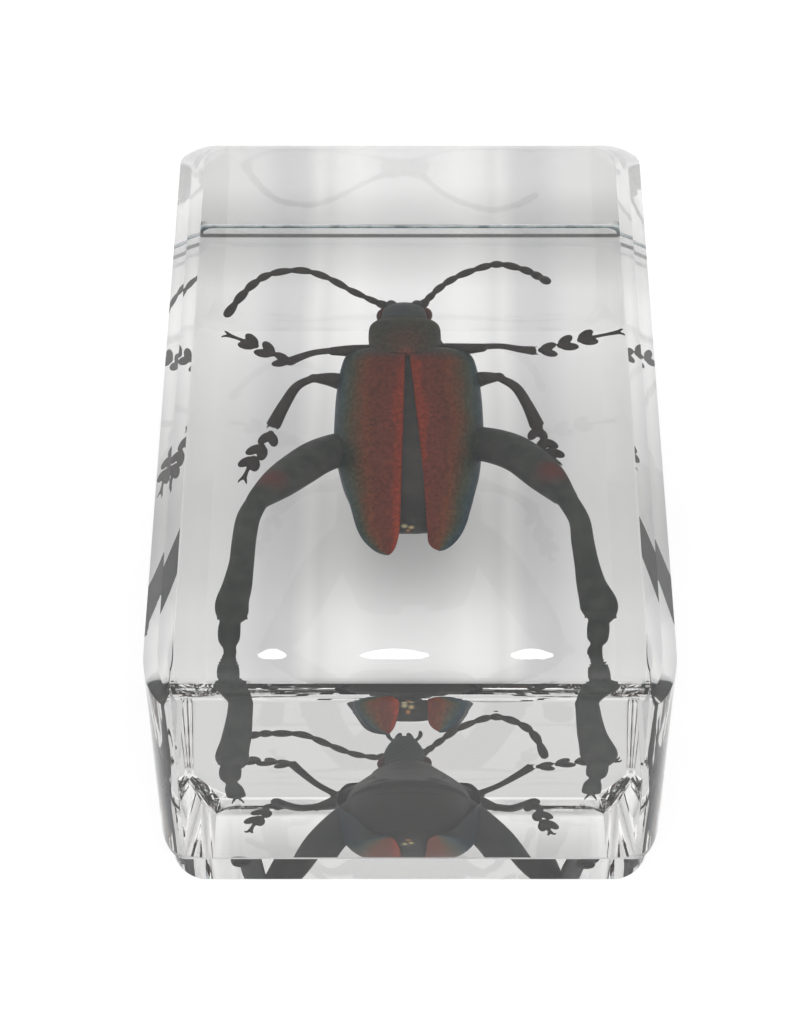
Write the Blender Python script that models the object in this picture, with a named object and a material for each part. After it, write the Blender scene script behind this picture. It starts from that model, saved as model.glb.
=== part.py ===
"""Insect in a clear resin block.

A dried frog-legged leaf beetle lies level inside a clear cast block. The block is a rounded
rectangle with soft upper edges, upright walls, and a small step above an upright foot.
The block is parted at one level plane, and the two halves share a pocket that follows the beetle.

Origin: centre of the underside. +X right, +Y towards the beetle's head, +Z up.
The dimensions below are in millimetres, and MM turns them into metres.
"""
import math

import bmesh
import bpy
from mathutils import Vector

MM = 0.001

# Block: outer form
BLOCK_WIDTH = 40.0
BLOCK_LENGTH = 62.0
BLOCK_HEIGHT = 25.0
EDGE_ROUND = 2.6          # radius of the soft upper edges
CORNER_ROUND = 3.8        # radius of the upright corners, in plan
WALL_TAPER = 0.17         # how far each wall leans in at its lower end
STEP_TOP = 3.0            # height of the crisp line round the block
FOOT_HEIGHT = 2.1         # height of the upright foot
FOOT_INSET = 0.62         # how far the foot stands in from the widest outline
SOLE_INSET = 0.7          # the same at the underside
CORNER_STEPS = 5
EDGE_STEPS = 4

# Block: parting and pocket
PARTING_HEIGHT = 8.0
PARTING_GAP = 0.3
POCKET_GAP = 0.34         # space kept round the beetle
POCKET_SIDES = 6
POCKET_SPREAD = 1.16      # lets the flats of a six-sided pocket clear the round limb in it

# Beetle: shared values
BODY_X = -0.1             # the body's middle, slightly left of the block's
HEAD_X = -0.5
ELYTRA_FRONT = 10.4
LEFT_TIP = -9.6
RIGHT_TIP = -9.2
TRUNK_SIDES = 14
LEG_SIDES = 7
FEMUR_SIDES = 9
ANTENNA_SEGMENTS = 11
ANTENNA_SIDES = 5

# Wing cases, along the body from base to tip:
# place from 0 to 1, half width, height of the side margin, height of the crown
ELYTRA_FORM = (
    (0.000, 3.9, 11.4, 12.8),
    (0.025, 5.1, 11.2, 13.8),
    (0.095, 5.65, 10.8, 14.5),
    (0.220, 6.0, 10.0, 15.0),
    (0.370, 6.15, 9.2, 15.2),
    (0.520, 6.15, 8.2, 15.0),
    (0.670, 5.8, 7.0, 14.4),
    (0.795, 5.05, 6.5, 12.9),
    (0.895, 4.05, 6.5, 10.6),
    (0.960, 3.2, 6.5, 8.5),
    (0.995, 2.3, 6.6, 7.2),
)
CROWN_STEPS = 6
CROWN_POWER = 0.58        # below 1 makes the wing cases squarer across

# Trunk under the wing cases: y, middle height, half width, half height
TRUNK_FORM = (
    (13.0, 11.6, 2.2, 1.7),
    (11.2, 11.3, 3.0, 1.9),
    (9.0, 11.0, 4.1, 2.1),
    (6.0, 10.5, 5.0, 2.6),
    (2.5, 9.9, 5.2, 3.4),
    (-1.0, 9.2, 5.0, 3.2),
    (-4.0, 8.7, 4.3, 2.6),
    (-6.0, 8.0, 3.0, 1.8),
    (-7.2, 7.3, 1.7, 1.1),
)

# Pronotum: y, middle height, half width, half height
PRONOTUM_FORM = (
    (8.9, 12.4, 2.95, 2.0),
    (10.0, 12.4, 3.0, 2.1),
    (11.9, 12.4, 3.15, 2.0),
    (13.3, 12.3, 3.1, 1.8),
    (14.2, 12.2, 2.5, 1.4),
)

# Head: y, middle height, half width, half height
HEAD_FORM = (
    (13.3, 12.0, 1.8, 1.4),
    (14.6, 11.8, 2.1, 1.8),
    (15.7, 11.4, 2.1, 1.9),
    (16.6, 10.7, 1.7, 1.5),
    (17.3, 9.8, 1.0, 0.8),
)
EYE_RADIUS = 0.85
EYE_PLACES = ((-2.35, 15.2, 11.6), (1.45, 15.3, 11.6))

# Antennae: points along the middle, from the brow to the tip
ANTENNA_LEFT = (
    (-1.8, 15.9, 11.5),
    (-3.0, 16.4, 11.9),
    (-5.0, 17.6, 12.1),
    (-7.1, 19.3, 11.9),
    (-9.3, 20.5, 11.3),
    (-11.8, 20.3, 11.0),
    (-13.3, 19.4, 10.6),
    (-14.6, 17.7, 10.2),
    (-15.7, 15.7, 9.8),
)
ANTENNA_RIGHT = (
    (0.8, 15.9, 11.3),
    (1.6, 17.1, 11.3),
    (2.7, 18.7, 11.0),
    (4.2, 20.3, 10.4),
    (6.4, 21.7, 9.9),
    (7.9, 22.0, 9.9),
    (9.8, 21.1, 10.4),
    (11.0, 19.8, 11.3),
    (11.8, 18.2, 13.0),
)
ANTENNA_ROOT_RADIUS = 0.27
ANTENNA_TIP_RADIUS = 0.40

# Legs: each line of points is x, y, z, half width, half height
FORE_LEFT_FEMUR = (
    (-1.6, 10.8, 10.8, 0.85, 0.85),
    (-3.2, 10.5, 11.8, 0.7, 0.75),
    (-4.9, 10.1, 12.7, 0.6, 0.65),
    (-6.4, 9.8, 13.2, 0.45, 0.45),
)
FORE_LEFT_TIBIA = (
    (-6.2, 9.9, 13.2, 0.35, 0.35),
    (-8.0, 10.3, 11.9, 0.32, 0.32),
    (-9.3, 10.5, 10.4, 0.4, 0.38),
    (-10.1, 10.6, 9.3, 0.5, 0.42),
)
FORE_LEFT_FOOT = ((-10.8, 10.7, 9.4), (-12.1, 11.6, 9.7), (-13.5, 12.4, 10.0), (-15.8, 13.3, 10.5))

FORE_RIGHT_FEMUR = (
    (1.0, 10.8, 10.8, 0.85, 0.85),
    (2.6, 10.7, 11.7, 0.7, 0.75),
    (4.4, 10.3, 12.7, 0.6, 0.65),
    (6.0, 10.2, 13.2, 0.45, 0.45),
)
FORE_RIGHT_TIBIA = (
    (5.8, 10.3, 13.2, 0.35, 0.35),
    (7.6, 10.8, 12.4, 0.3, 0.3),
    (9.3, 11.1, 11.1, 0.38, 0.36),
    (10.4, 11.4, 10.2, 0.5, 0.42),
)
FORE_RIGHT_FOOT = ((11.6, 11.5, 10.2), (13.2, 12.2, 10.2), (14.9, 12.8, 10.3), (18.1, 13.5, 10.6))

MID_LEFT_FEMUR = (
    (-2.6, 6.2, 9.4, 0.95, 0.95),
    (-4.6, 6.7, 11.0, 0.9, 0.9),
    (-6.3, 6.9, 12.3, 0.75, 0.8),
    (-8.0, 6.8, 12.9, 0.4, 0.4),
)
MID_LEFT_TIBIA = (
    (-7.8, 6.9, 12.9, 0.36, 0.36),
    (-9.3, 6.1, 12.6, 0.43, 0.4),
    (-10.3, 4.7, 11.5, 0.52, 0.42),
    (-11.3, 2.9, 9.9, 0.65, 0.48),
)
MID_LEFT_FOOT = ((-11.6, 1.6, 9.7), (-12.4, 0.2, 9.7), (-13.0, -1.2, 9.9), (-13.6, -3.5, 10.3))

MID_RIGHT_FEMUR = (
    (2.4, 6.2, 9.4, 0.95, 0.95),
    (4.3, 6.8, 11.0, 0.9, 0.9),
    (5.8, 7.0, 12.3, 0.75, 0.8),
    (7.4, 6.9, 13.0, 0.4, 0.4),
)
MID_RIGHT_TIBIA = (
    (7.2, 6.9, 13.0, 0.34, 0.34),
    (8.7, 6.0, 12.6, 0.45, 0.42),
    (9.7, 4.6, 11.3, 0.5, 0.42),
    (10.5, 2.9, 9.9, 0.65, 0.48),
)
MID_RIGHT_FOOT = ((10.5, 2.0, 10.0), (11.1, 0.6, 10.3), (11.6, -0.7, 10.8), (12.0, -2.2, 11.4))

HIND_LEFT_FEMUR = (
    (-2.2, 2.8, 8.4, 1.2, 1.2),
    (-4.6, 1.4, 9.6, 1.6, 1.6),
    (-7.2, -1.5, 12.0, 1.72, 1.72),
    (-8.9, -4.3, 14.7, 1.72, 1.72),
    (-10.5, -6.9, 16.6, 1.5, 1.5),
    (-12.1, -9.1, 17.6, 0.95, 0.95),
)
HIND_LEFT_TIBIA = (
    (-12.2, -9.1, 17.5, 0.85, 0.85),
    (-13.0, -10.3, 16.0, 0.82, 0.8),
    (-13.4, -11.6, 13.7, 0.82, 0.75),
    (-13.6, -12.8, 11.3, 0.92, 0.72),
    (-13.8, -14.0, 8.9, 1.15, 0.75),
    (-14.15, -15.0, 7.2, 1.42, 0.8),
    (-14.1, -16.0, 6.9, 1.25, 0.8),
    (-14.1, -16.7, 6.7, 0.85, 0.7),
)
HIND_LEFT_FOOT = (
    (-14.1, -16.1, 6.8, 0.75, 0.6),
    (-14.2, -17.2, 6.5, 0.9, 0.65),
    (-14.2, -18.3, 6.2, 0.85, 0.6),
    (-14.1, -19.1, 6.0, 0.5, 0.4),
    (-13.9, -19.9, 5.7, 0.75, 0.45),
    (-13.7, -20.9, 5.3, 0.8, 0.45),
)
HIND_LEFT_CLAW = (-13.5, -22.3, 4.9)

HIND_RIGHT_FEMUR = (
    (2.0, 2.8, 8.4, 1.2, 1.2),
    (4.4, 1.8, 9.6, 1.6, 1.6),
    (7.1, -0.7, 12.1, 1.75, 1.75),
    (9.0, -3.0, 14.6, 1.75, 1.75),
    (10.9, -5.8, 16.2, 1.6, 1.6),
    (12.5, -8.4, 17.0, 1.0, 1.0),
)
HIND_RIGHT_TIBIA = (
    (12.6, -8.4, 16.9, 0.85, 0.85),
    (13.6, -10.1, 15.3, 0.82, 0.8),
    (14.0, -11.4, 13.1, 0.83, 0.75),
    (14.3, -12.7, 11.2, 0.9, 0.72),
    (14.6, -14.0, 9.2, 1.12, 0.75),
    (15.0, -15.2, 7.7, 1.5, 0.8),
    (15.0, -16.1, 7.3, 1.35, 0.8),
    (15.0, -16.8, 7.1, 0.85, 0.7),
)
HIND_RIGHT_FOOT = (
    (15.1, -16.2, 7.2, 0.75, 0.6),
    (15.1, -17.3, 6.9, 0.9, 0.65),
    (15.0, -18.4, 6.6, 0.82, 0.6),
    (14.9, -18.9, 6.4, 0.5, 0.4),
    (14.8, -19.7, 6.1, 0.75, 0.45),
    (14.7, -20.7, 5.7, 0.8, 0.45),
)
HIND_RIGHT_CLAW = (14.7, -22.1, 5.2)

SMALL_LEGS = (
    (FORE_LEFT_FEMUR, FORE_LEFT_TIBIA, FORE_LEFT_FOOT),
    (FORE_RIGHT_FEMUR, FORE_RIGHT_TIBIA, FORE_RIGHT_FOOT),
    (MID_LEFT_FEMUR, MID_LEFT_TIBIA, MID_LEFT_FOOT),
    (MID_RIGHT_FEMUR, MID_RIGHT_TIBIA, MID_RIGHT_FOOT),
)
HIND_LEGS = (
    (HIND_LEFT_FEMUR, HIND_LEFT_TIBIA, HIND_LEFT_FOOT, HIND_LEFT_CLAW),
    (HIND_RIGHT_FEMUR, HIND_RIGHT_TIBIA, HIND_RIGHT_FOOT, HIND_RIGHT_CLAW),
)
LOBE_LENGTH = 0.85        # half length of one lobe of a foot pad
LOBE_WIDTH = 0.42
LOBE_HEIGHT = 0.3
LOBE_SPLAY = 0.5          # how far a lobe leans out, as a share of its length
PAD_HALF_WIDTH = 0.95     # reach of a two-lobed pad to each side
CLAW_RADIUS = 0.16
CLAW_REACH = 0.6          # how far each claw spreads to its side

UP = Vector((0.0, 0.0, 1.0))


def clear_scene():
    """Remove what the file already holds."""
    for old in list(bpy.data.objects):
        bpy.data.objects.remove(old, do_unlink=True)


def paint(name, colour, roughness, alpha=1.0):
    """A plain material."""
    material = bpy.data.materials.new(name)
    material.use_nodes = True
    shader = material.node_tree.nodes["Principled BSDF"]
    shader.inputs["Base Color"].default_value = (*colour, 1.0)
    shader.inputs["Roughness"].default_value = roughness
    shader.inputs["Metallic"].default_value = 0.0
    shader.inputs["Alpha"].default_value = alpha
    return material


def skin(bm, rings, head=None, tail=None):
    """Join rings of points into one closed shell, ending in a point or a flat face."""
    loops = [[bm.verts.new(Vector(p) * MM) for p in ring] for ring in rings]
    sides = len(loops[0])
    for low, high in zip(loops, loops[1:]):
        for i in range(sides):
            j = (i + 1) % sides
            bm.faces.new((low[i], low[j], high[j], high[i]))
    for loop, tip, flip in ((loops[0], head, True), (loops[-1], tail, False)):
        if tip is None:
            bm.faces.new(loop[::-1] if flip else loop)
            continue
        pole = bm.verts.new(Vector(tip) * MM)
        for i in range(sides):
            j = (i + 1) % sides
            bm.faces.new((loop[j], loop[i], pole) if flip else (loop[i], loop[j], pole))


def smooth_line(points, count):
    """Count stations on a smooth curve through the points."""
    values = [Vector(p) for p in points]
    spans = len(values) - 1
    line = []
    for k in range(count):
        place = spans * k / (count - 1)
        span = min(int(place), spans - 1)
        t = place - span
        before = values[max(span - 1, 0)]
        start = values[span]
        stop = values[span + 1]
        after = values[min(span + 2, spans)]
        line.append(0.5 * (
            2.0 * start
            + (stop - before) * t
            + (2.0 * before - 5.0 * start + 4.0 * stop - after) * t ** 2
            + (3.0 * start - before - 3.0 * stop + after) * t ** 3
        ))
    return line


def limb(bm, points, sides, count, grow=0.0, beads=0):
    """A rounded limb along points that carry a half width and a half height."""
    spread = 1.0
    if grow:
        sides = POCKET_SIDES
        spread = POCKET_SPREAD
        beads = 0
    places = smooth_line([p[:3] for p in points], count)
    widths = smooth_line([(p[3], p[4], 0.0) for p in points], count)
    rings = []
    ends = []
    for k, (place, width) in enumerate(zip(places, widths)):
        ahead = places[min(k + 1, count - 1)] - places[max(k - 1, 0)]
        ahead.normalize()
        across = ahead.cross(UP).normalized()
        rise = across.cross(ahead)
        swell = 1.0
        if beads:
            swell = 1.0 - 0.3 * abs(math.cos(math.pi * beads * k / (count - 1)))
        half_width = width[0] * swell * spread + grow
        half_height = width[1] * swell * spread + grow
        ring = []
        for i in range(sides):
            turn = 2.0 * math.pi * (i + 0.5) / sides
            ring.append(place + across * half_width * math.cos(turn) + rise * half_height * math.sin(turn))
        rings.append(ring)
        if k in (0, count - 1):
            reach = 0.6 * min(width[0], width[1]) + 1.5 * grow
            ends.append(place + ahead * (reach if k else -reach))
    skin(bm, rings, ends[0], ends[1])


def lump(bm, middle, radii, ahead, sides, levels, grow=0.0):
    """A small rounded lump, long along the direction ahead."""
    ahead = Vector(ahead).normalized()
    across = ahead.cross(UP).normalized()
    rise = across.cross(ahead)
    middle = Vector(middle)
    long_radius, wide_radius, high_radius = (r + grow for r in radii)
    rings = []
    for k in range(1, levels):
        turn = math.pi * k / levels
        out = math.sin(turn)
        centre = middle - ahead * long_radius * math.cos(turn)
        ring = []
        for i in range(sides):
            angle = 2.0 * math.pi * (i + 0.5) / sides
            ring.append(
                centre
                + across * wide_radius * out * math.cos(angle)
                + rise * high_radius * out * math.sin(angle)
            )
        rings.append(ring)
    skin(bm, rings, middle - ahead * long_radius, middle + ahead * long_radius)


def barrel(bm, form, middle_x, sides, power, grow=0.0):
    """A body part whose cross-sections stand along Y, from the head end back or forth."""
    if grow:
        sides -= 4
        grow *= POCKET_SPREAD
    rings = []
    backward = form[0][0] > form[-1][0]
    for y, height, half_width, half_height in form:
        ring = []
        for i in range(sides):
            turn = 2.0 * math.pi * i / sides
            c = math.cos(turn)
            s = math.sin(turn)
            x = (half_width + grow) * math.copysign(abs(c) ** power, c)
            z = (half_height + grow) * math.copysign(abs(s) ** power, s)
            ring.append((middle_x + (x if backward else -x), y, height + z))
        rings.append(ring)
    way = -1.0 if backward else 1.0
    first = form[0]
    last = form[-1]
    head = (middle_x, first[0] - way * (0.3 + 1.3 * grow), first[1])
    tail = (middle_x, last[0] + way * (0.3 + 1.3 * grow), last[1])
    skin(bm, rings, head, tail)


def wing_case(bm, side, grow=0.0):
    """One wing case: side is -1 for the left and 1 for the right."""
    tip = LEFT_TIP if side < 0 else RIGHT_TIP
    rings = []
    for place, half_width, margin, crown in ELYTRA_FORM:
        y = ELYTRA_FRONT + (tip - ELYTRA_FRONT) * place
        if side < 0:
            inner = -0.35 - 0.45 * place ** 1.5
        else:
            inner = -0.15 + 1.65 * place
        inner += side * 0.55 * max(0.0, (place - 0.9) / 0.095) ** 2 - side * grow
        outer = BODY_X + side * (half_width + grow)
        low = margin - grow
        high = crown + grow
        ring = [(inner, y, low - 0.9)]
        for k in range(CROWN_STEPS + 1):
            u = k / CROWN_STEPS
            x = inner + (outer - inner) * math.sin(0.5 * math.pi * u)
            z = low + (high - low) * math.cos(0.5 * math.pi * u) ** CROWN_POWER
            ring.append((x, y, z))
        ring.append((inner + (outer - inner) * 0.7, y, low - 0.7))
        rings.append(ring if side < 0 else ring[::-1])
    middle_front = (BODY_X + side * 1.9, ELYTRA_FRONT + 0.15 + 1.3 * grow, 12.2)
    middle_tip = (BODY_X + side * 1.75, tip - 0.12 - 1.3 * grow, 6.7)
    skin(bm, rings, middle_front, middle_tip)


def foot_pads(bm, foot, tibia_end, grow=0.0):
    """Three two-lobed pads, and the slim last segment with its two hooks."""
    start = Vector(tibia_end)
    joints = [Vector(p) for p in foot]
    if grow:
        reach = (joints[2] - joints[1]).normalized() * LOBE_LENGTH
        room = [(*start, 0.6, 0.5), (*joints[0], PAD_HALF_WIDTH, 0.4)]
        room += [(*joints[1], PAD_HALF_WIDTH, 0.4), (*(joints[2] + reach), PAD_HALF_WIDTH, 0.4)]
        limb(bm, room, POCKET_SIDES, 6, grow)
        limb(bm, [(*joints[2], 0.3, 0.3), (*joints[3], CLAW_REACH, 0.4)], POCKET_SIDES, 3, grow)
        return
    link = [(*start, 0.3, 0.26)] + [(*p, 0.3, 0.24) for p in joints[:3]]
    limb(bm, link, LEG_SIDES - 2, 5)
    before = start
    for joint in joints[:3]:
        ahead = (joint - before).normalized()
        across = ahead.cross(UP).normalized()
        for side in (-1.0, 1.0):
            lean = (ahead + across * side * LOBE_SPLAY).normalized()
            middle = joint + across * side * LOBE_WIDTH * 0.9 + lean * 0.1
            lump(bm, middle, (LOBE_LENGTH, LOBE_WIDTH, LOBE_HEIGHT), lean, 6, 4)
        before = joint
    ahead = (joints[3] - joints[2]).normalized()
    last = joints[3]
    limb(bm, [(*joints[2], 0.2, 0.2), (*(last - ahead * 0.5), 0.22, 0.22)], 5, 3)
    hooks(bm, last - ahead * 0.6, ahead)


def hooks(bm, root, ahead):
    """A pair of small bent claws."""
    across = ahead.cross(UP).normalized()
    for side in (-1.0, 1.0):
        bend = root + ahead * 0.55 + across * side * 0.35
        end = root + ahead * 0.75 + across * side * CLAW_REACH - UP * 0.3
        limb(bm, [
            (*(root - ahead * 0.1), CLAW_RADIUS, CLAW_RADIUS),
            (*bend, CLAW_RADIUS, CLAW_RADIUS),
            (*end, CLAW_RADIUS * 0.6, CLAW_RADIUS * 0.6),
        ], 4, 3)


def limbs_and_shell(bm, grow=0.0):
    """Everything that grows from the trunk."""
    wing_case(bm, -1.0, grow)
    wing_case(bm, 1.0, grow)
    barrel(bm, PRONOTUM_FORM, HEAD_X + 0.05, TRUNK_SIDES, 0.8, grow)
    barrel(bm, HEAD_FORM, HEAD_X, TRUNK_SIDES - 2, 0.9, grow)
    for eye in EYE_PLACES:
        lump(bm, eye, (EYE_RADIUS, EYE_RADIUS * 0.8, EYE_RADIUS), (0.1, 1.0, 0.0), 7, 5, grow)
    for line in (ANTENNA_LEFT, ANTENNA_RIGHT):
        tips = len(line) - 1
        step = (ANTENNA_TIP_RADIUS - ANTENNA_ROOT_RADIUS) / tips
        points = [(*p, ANTENNA_ROOT_RADIUS + step * k, ANTENNA_ROOT_RADIUS + step * k) for k, p in enumerate(line)]
        count = ANTENNA_SEGMENTS + 2 if grow else 2 * ANTENNA_SEGMENTS + 1
        limb(bm, points, ANTENNA_SIDES, count, grow, ANTENNA_SEGMENTS)
    for femur, tibia, foot in SMALL_LEGS:
        limb(bm, femur, LEG_SIDES, 5, grow)
        limb(bm, tibia, LEG_SIDES, 5, grow)
        foot_pads(bm, foot, tibia[-1][:3], grow)
    for femur, tibia, foot, claw in HIND_LEGS:
        limb(bm, femur, FEMUR_SIDES, 7, grow)
        limb(bm, tibia, LEG_SIDES, 11, grow)
        start = Vector(foot[-1][:3])
        ahead = (Vector(claw) - start).normalized()
        if grow:
            foot = foot + ((*claw, CLAW_REACH, 0.4),)
        limb(bm, foot, LEG_SIDES, 8, grow)
        if not grow:
            hooks(bm, start + ahead * 0.3, ahead)


def object_from(name, bm, material, shade_angle=0.7):
    """Turn a bmesh into a named object."""
    mesh = bpy.data.meshes.new(name)
    bmesh.ops.recalc_face_normals(bm, faces=bm.faces)
    bm.to_mesh(mesh)
    bm.free()
    if material is not None:
        mesh.materials.append(material)
    mesh.shade_smooth()
    mesh.set_sharp_from_angle(angle=shade_angle)
    thing = bpy.data.objects.new(name, mesh)
    bpy.context.scene.collection.objects.link(thing)
    return thing


def hide_as_cutter(thing):
    """A cutter or an operand is only a guide."""
    thing.hide_render = True
    thing.display_type = "WIRE"


def join_to(thing, name, operand, operation, with_self=False):
    """A Boolean that stays on the object."""
    cut = thing.modifiers.new(name, "BOOLEAN")
    cut.operation = operation
    cut.object = operand
    cut.use_self = with_self


def insect(name, grow, material):
    """The beetle's trunk, with all its limbs and its shell united with it."""
    bm = bmesh.new()
    barrel(bm, TRUNK_FORM, BODY_X, TRUNK_SIDES, 0.9, grow)
    trunk = object_from(name, bm, material)
    bm = bmesh.new()
    limbs_and_shell(bm, grow)
    grown = object_from(name + "_limbs", bm, material)
    hide_as_cutter(grown)
    join_to(trunk, "limbs", grown, "UNION", with_self=True)
    return trunk


def block_profile():
    """The block's wall from the underside up: height and inset from the widest outline."""
    wall_top = BLOCK_HEIGHT - EDGE_ROUND
    profile = [(0.0, SOLE_INSET), (FOOT_HEIGHT, FOOT_INSET), (STEP_TOP, WALL_TAPER), (wall_top, 0.0)]
    for k in range(1, EDGE_STEPS + 1):
        turn = 0.5 * math.pi * k / EDGE_STEPS
        profile.append((wall_top + EDGE_ROUND * math.sin(turn), EDGE_ROUND * (1.0 - math.cos(turn))))
    return profile


def block_ring(height, inset):
    """One level outline of the block."""
    half_x = 0.5 * BLOCK_WIDTH - CORNER_ROUND
    half_y = 0.5 * BLOCK_LENGTH - CORNER_ROUND
    radius = CORNER_ROUND - inset
    ring = []
    for quarter, (sx, sy) in enumerate(((1, 1), (-1, 1), (-1, -1), (1, -1))):
        for k in range(CORNER_STEPS + 1):
            turn = 0.5 * math.pi * (quarter + k / CORNER_STEPS)
            ring.append((sx * half_x + radius * math.cos(turn), sy * half_y + radius * math.sin(turn), height))
    return ring


def block_part(name, low, high, material):
    """The part of the block between two heights."""
    profile = block_profile()

    def inset_at(height):
        for (z0, i0), (z1, i1) in zip(profile, profile[1:]):
            if z0 <= height <= z1:
                return i0 + (i1 - i0) * (height - z0) / (z1 - z0)
        return profile[-1][1]

    inside = [(z, i) for z, i in profile if low < z < high]
    levels = [(low, inset_at(low))] + inside + [(high, inset_at(high))]
    bm = bmesh.new()
    skin(bm, [block_ring(z, i) for z, i in levels])
    return object_from(name, bm, material, 0.5)


def build():
    """The whole part."""
    clear_scene()
    resin = paint("clear_resin", (0.93, 0.94, 0.94), 0.03, 0.3)
    shell = paint("beetle_shell", (0.11, 0.035, 0.02), 0.3)
    insect("beetle", 0.0, shell)
    pocket = insect("pocket", POCKET_GAP, None)
    hide_as_cutter(pocket)
    half_gap = 0.5 * PARTING_GAP
    lower = block_part("resin_lower", 0.0, PARTING_HEIGHT - half_gap, resin)
    upper = block_part("resin_upper", PARTING_HEIGHT + half_gap, BLOCK_HEIGHT, resin)
    for half in (lower, upper):
        join_to(half, "pocket", pocket, "DIFFERENCE")


build()
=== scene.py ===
"""Insect in a clear resin block: looks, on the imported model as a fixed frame.

Dimensions are in millimetres in the part's own frame, and MM turns them into metres.
X runs to the right, Y to the back and Z up. The beetle's head points to the back.
"""
import math

import bmesh
import bpy
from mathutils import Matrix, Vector


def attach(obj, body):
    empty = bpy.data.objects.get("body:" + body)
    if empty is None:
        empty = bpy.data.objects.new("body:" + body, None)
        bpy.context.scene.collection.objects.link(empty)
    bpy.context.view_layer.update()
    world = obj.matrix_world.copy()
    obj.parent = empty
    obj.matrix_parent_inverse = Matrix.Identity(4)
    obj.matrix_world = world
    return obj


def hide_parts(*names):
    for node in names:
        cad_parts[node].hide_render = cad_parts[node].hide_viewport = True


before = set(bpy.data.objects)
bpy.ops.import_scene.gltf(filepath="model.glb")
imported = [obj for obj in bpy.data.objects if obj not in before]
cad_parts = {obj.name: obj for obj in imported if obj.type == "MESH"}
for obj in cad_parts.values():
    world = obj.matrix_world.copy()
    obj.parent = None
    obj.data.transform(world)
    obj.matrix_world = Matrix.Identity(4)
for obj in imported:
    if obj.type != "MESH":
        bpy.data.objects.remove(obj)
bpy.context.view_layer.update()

MM = 0.001
UP = Vector((0.0, 0.0, 1.0))
ROOT = "root"
BEETLE = "beetle"

# ---------------------------------------------------------------- block
BLOCK_WIDTH = 40.0
BLOCK_LENGTH = 62.0
BLOCK_HEIGHT = 25.0
# how far the front and back rounds of the top reach in and down
FRONT_ROUND_LENGTH = 3.4
FRONT_ROUND_DROP = 2.3
BACK_ROUND_LENGTH = 5.15
BACK_ROUND_DROP = 3.4
# 2 gives a quarter of an ellipse, and more gives a fuller round
ROUND_POWER = 2.4
# the two flat facets along each side of the top
FACET_WIDTH = 1.2
INNER_FACET_DROP = 1.2
OUTER_FACET_DROP = 1.5
# how far the upright corners reach along X and along Y
FRONT_CORNER = (2.4, 5.2)
BACK_CORNER = (0.5, 0.9)
FOOT_CORNER = (3.9, 3.9)
LEAST_CORNER = (0.4, 0.8)
# what the back corners gain over the first share of the back round
BACK_CORNER_GROWTH = (3.6, 4.2)
GROWTH_SHARE = 0.3
# how far the walls draw in at their lower end
WALL_TAPER = 0.17
STEP_TOP = 3.0
GROOVE_HEIGHT = 2.8
FOOT_HEIGHT = 2.6
STEP_SLOPE = 0.6 / BLOCK_LENGTH
# insets of the sole, the top of the foot and the groove over it: side, front, back
SOLE_INSETS = (1.1, 0.4, 0.12)
FOOT_INSETS = (0.9, 0.86, 0.16)
GROOVE_INSETS = (0.9, 0.86, 0.42)
CORNER_STEPS = 24
EDGE_STEPS = 28
LEAST_RING_GAP = 0.003
SHARP_ANGLE = 0.25
# the rings at the foot, the groove and the lower end of the walls have sharp edges
SHARP_RINGS = (1, 2, 3)

RESIN_IOR = 1.55
RESIN_TONE = (0.53, 0.52, 0.50, 1.0)
RESIN_DENSITY = 5.0
# the worn seam: its half height, where it has faded, and what it gains over a stretch at the back
SEAM_HALF = 0.14
SEAM_FADED = 0.2
SEAM_GAIN = 0.14
SEAM_BACK = (29.0, 30.5)

# ---------------------------------------------------------------- beetle
BODY_X = -0.1
HEAD_X = -0.5
# where the wing cases start and where each of them ends, along Y
ELYTRA_FRONT = 10.4
LEFT_TIP = -9.75
RIGHT_TIP = -9.3
CASE_THICKNESS = 0.55

# place from base to tip, half width, height of the side margin, height of the crown
ELYTRA_FORM = (
    (0.000, 3.9, 11.4, 12.8),
    (0.025, 5.1, 11.2, 13.8),
    (0.095, 5.65, 10.8, 14.5),
    (0.220, 6.0, 10.0, 15.0),
    (0.370, 6.15, 9.2, 15.2),
    (0.520, 6.15, 8.2, 15.0),
    (0.670, 5.8, 7.1, 14.4),
    (0.795, 5.1, 6.6, 12.9),
    (0.895, 4.55, 6.5, 10.9),
    (0.960, 4.3, 6.5, 9.2),
    (1.000, 4.2, 6.6, 7.9),
)
# how much wider the right case lies in its rear part
RIGHT_SPREAD = 0.42
# how far before the tips their rounds start: outer side, and inner side left and right
OUTER_TIP_ROUND = 2.5
INNER_TIP_ROUND = (1.9, 0.6)
# the inner edges, left and right: x at the base, what they gain up to the tip, and its power
INNER_EDGES = ((-0.38, -0.45, 1.5), (-0.20, 1.66, 1.0))
# how far beside its inner edge the line lies that a tip closes on
TIP_LINE = 0.84
# the share of its height that a case keeps at the tip
TIP_BODY = 0.15
# how far the margin of the rear half tucks in
CASE_TUCK = 0.75

# y, middle height, half width, half height
TRUNK_FORM = (
    (13.0, 11.6, 2.2, 1.7),
    (11.2, 11.3, 3.0, 1.9),
    (9.0, 11.0, 4.1, 2.1),
    (6.0, 10.5, 5.0, 2.6),
    (2.5, 9.9, 5.4, 3.4),
    (-1.0, 9.2, 5.4, 3.2),
    (-4.0, 8.7, 5.1, 2.6),
    (-6.2, 8.3, 4.2, 1.8),
    (-7.7, 8.1, 2.7, 1.1),
)
PRONOTUM_FORM = (
    (8.9, 12.4, 2.85, 2.0),
    (10.0, 12.4, 2.95, 2.1),
    (11.7, 12.4, 3.06, 2.0),
    (12.9, 12.3, 2.95, 1.8),
    (13.55, 12.2, 2.45, 1.4),
)
HEAD_FORM = (
    (13.0, 12.0, 1.75, 1.4),
    (14.3, 11.8, 1.95, 1.8),
    (15.25, 11.3, 1.9, 1.85),
    (16.1, 10.5, 1.55, 1.4),
    (16.85, 9.8, 0.95, 0.8),
)
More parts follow.
